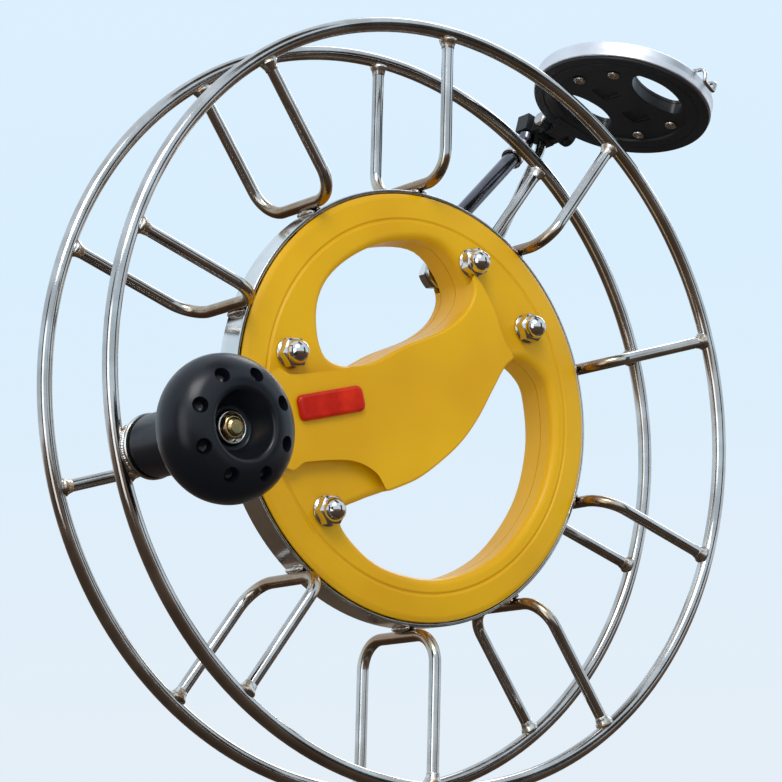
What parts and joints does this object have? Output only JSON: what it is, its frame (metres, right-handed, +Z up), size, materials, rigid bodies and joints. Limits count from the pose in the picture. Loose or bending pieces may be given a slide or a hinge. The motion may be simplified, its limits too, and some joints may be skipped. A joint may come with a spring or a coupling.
{
  "type": "line reel",
  "caption": "Hand-held wire-frame line reel: a two-ring steel wheel with U-shaped spokes turning round a moulded hand grip, with crank knob, sliding lock and hinged line guide.",
  "frame": {"origin": "middle of the hand grip, on the wheel's axis and midway between the two rim rings", "axes": "+Z up as in use, +Y from the knob's side to the back along the wheel's axis, +X to the right seen from the front"},
  "size_m": [0.3044, 0.1332, 0.2958],
  "materials": {
    "ball_cage": "ground bearing steel",
    "bearing_inner_race": "ground bearing steel",
    "bearing_outer_race": "ground bearing steel",
    "cap_nut_1": "bright plated steel",
    "cap_nut_2": "bright plated steel",
    "cap_nut_3": "bright plated steel",
    "cap_nut_4": "bright plated steel",
    "clamp_sleeve": "bright plated steel",
    "drum_band": "polished stainless steel",
    "front_grip_shell": "yellow, moulded, slightly glossy",
    "front_rim_ring": "polished stainless steel",
    "grip_bolt_1": "bright plated steel",
    "grip_bolt_2": "bright plated steel",
    "grip_bolt_3": "bright plated steel",
    "grip_bolt_4": "bright plated steel",
    "guide_arm_a": "dark tube",
    "guide_arm_b": "stainless steel",
    "guide_bearing_ring": "ground bearing steel",
    "guide_bracket": "black, moulded",
    "guide_core": "black, moulded",
    "guide_cover": "black, moulded",
    "guide_mount_plate": "stainless steel",
    "guide_rim": "satin, turned",
    "guide_screw_1": "bright plated steel",
    "guide_screw_2": "bright plated steel",
    "guide_screw_3": "bright plated steel",
    "guide_screw_4": "bright plated steel",
    "hinge_pin": "stainless steel",
    "knob_base_plate": "polished stainless steel",
    "knob_handle": "black, moulded, slightly glossy",
    "knob_nut": "yellow zinc-plated steel",
    "knob_sleeve": "bright plated steel",
    "knob_stud": "yellow zinc-plated steel",
    "line_keeper": "stainless steel",
    "lock_slider": "red, moulded",
    "rear_grip_shell": "yellow, moulded, slightly glossy",
    "rear_rim_ring": "polished stainless steel",
    "spoke_01": "polished stainless steel",
    "spoke_02": "polished stainless steel",
    "spoke_03": "polished stainless steel",
    "spoke_04": "polished stainless steel",
    "spoke_05": "polished stainless steel",
    "spoke_06": "polished stainless steel",
    "spoke_07": "polished stainless steel",
    "spoke_08": "polished stainless steel",
    "spoke_09": "polished stainless steel",
    "spoke_10": "polished stainless steel",
    "thumb_nut": "black, moulded"
  },
  "bodies": {
    "grip": {"front_grip_shell": "front_grip_shell", "rear_grip_shell": "rear_grip_shell", "bearing_inner_race": "bearing_inner_race", "grip_bolt_1": "grip_bolt_1", "grip_bolt_2": "grip_bolt_2", "grip_bolt_3": "grip_bolt_3", "grip_bolt_4": "grip_bolt_4", "cap_nut_1": "cap_nut_1", "cap_nut_2": "cap_nut_2", "cap_nut_3": "cap_nut_3", "cap_nut_4": "cap_nut_4", "guide_mount_plate": "guide_mount_plate", "guide_arm_a": "guide_arm_a", "guide_arm_b": "guide_arm_b", "clamp_sleeve": "clamp_sleeve", "guide_bracket": "guide_bracket", "hinge_pin": "hinge_pin"},
    "wheel": {"bearing_outer_race": "bearing_outer_race", "drum_band": "drum_band", "front_rim_ring": "front_rim_ring", "rear_rim_ring": "rear_rim_ring", "knob_base_plate": "knob_base_plate", "knob_stud": "knob_stud", "knob_nut": "knob_nut", "spoke_01": "spoke_01", "spoke_02": "spoke_02", "spoke_03": "spoke_03", "spoke_04": "spoke_04", "spoke_05": "spoke_05", "spoke_06": "spoke_06", "spoke_07": "spoke_07", "spoke_08": "spoke_08", "spoke_09": "spoke_09", "spoke_10": "spoke_10"},
    "cage": {"ball_cage": "ball_cage"},
    "knob": {"knob_handle": "knob_handle", "knob_sleeve": "knob_sleeve"},
    "lock": {"lock_slider": "lock_slider"},
    "guide": {"guide_core": "guide_core", "guide_cover": "guide_cover", "guide_bearing_ring": "guide_bearing_ring", "guide_screw_1": "guide_screw_1", "guide_screw_2": "guide_screw_2", "guide_screw_3": "guide_screw_3", "guide_screw_4": "guide_screw_4", "line_keeper": "line_keeper"},
    "guide_roller": {"guide_rim": "guide_rim"},
    "thumb": {"thumb_nut": "thumb_nut"}
  },
  "joints": [
    {"name": "wheel_spin", "type": "hinge", "parent": "grip", "child": "wheel", "pos_m": [0, 0, 0], "axis": [0, -1, 0], "continuous": true},
    {"name": "cage_spin", "type": "hinge", "parent": "grip", "child": "cage", "pos_m": [0, 0, 0], "axis": [0, -1, 0], "continuous": true},
    {"name": "knob_spin", "type": "hinge", "parent": "wheel", "child": "knob", "pos_m": [-0.12853, -0.05, -0.02429], "axis": [0, -1, 0], "continuous": true},
    {"name": "lock_slide", "type": "slide", "parent": "grip", "child": "lock", "axis": [-0.9799, 0, -0.1994], "range_m": [0, 0.005]},
    {"name": "guide_fold", "type": "hinge", "parent": "grip", "child": "guide", "pos_m": [0.11471, 0.0389, 0.13243], "axis": [-0.9361, 0, 0.3518], "range_deg": [0, 90]},
    {"name": "guide_rim_spin", "type": "hinge", "parent": "guide", "child": "guide_roller", "pos_m": [0.11553, -0.00404, 0.1346], "axis": [0.3513, 0.0541, 0.9347], "continuous": true},
    {"name": "thumb_nut_turn", "type": "hinge", "parent": "grip", "child": "thumb", "pos_m": [0.12267, 0.0389, 0.12943], "axis": [0.9361, 0, -0.3518], "range_deg": [0, 270]}
  ],
  "couplings": [
    {"joint": "cage_spin", "follows": "wheel_spin", "ratio": 0.5104}
  ]
}
